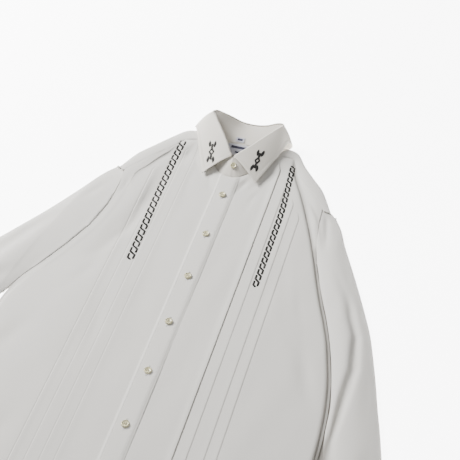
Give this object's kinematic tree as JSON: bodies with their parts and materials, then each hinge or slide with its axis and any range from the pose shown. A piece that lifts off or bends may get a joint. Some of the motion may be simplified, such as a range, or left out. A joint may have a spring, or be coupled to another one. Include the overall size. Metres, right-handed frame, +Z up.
{
  "type": "long-sleeved shirt",
  "caption": "Long-sleeved button-front shirt with a turned-down collar, pin tucks and embroidered bands, buttoned up and laid flat on its back.",
  "frame": {"origin": "centre of the shirt's footprint, on the surface that it lies on", "axes": "+Y from the hem towards the collar, +X towards the wearer's left sleeve, +Z up off the surface, out of the front"},
  "size_m": [0.882, 0.8238, 0.0414],
  "materials": {
    "shirt_cloth": "plain woven cotton",
    "collar_cloth": "plain woven cotton, stiffened inside",
    "button_pearl": "polished, yellowish pearl",
    "label_weave": "woven label, left bare"
  },
  "bodies": {
    "root": {"back": "shirt_cloth", "front_left": "shirt_cloth", "front_right": "shirt_cloth", "yoke": "shirt_cloth", "placket": "shirt_cloth", "sleeve_left": "shirt_cloth", "sleeve_right": "shirt_cloth", "cuff_left": "collar_cloth", "cuff_right": "collar_cloth", "collar_stand": "collar_cloth", "collar_leaf": "collar_cloth", "button_collar": "button_pearl", "button_1": "button_pearl", "button_2": "button_pearl", "button_3": "button_pearl", "button_4": "button_pearl", "button_5": "button_pearl", "button_6": "button_pearl", "button_7": "button_pearl", "cuff_button_left": "button_pearl", "cuff_button_right": "button_pearl", "neck_label": "label_weave", "size_tab": "label_weave"}
  },
  "joints": []
}
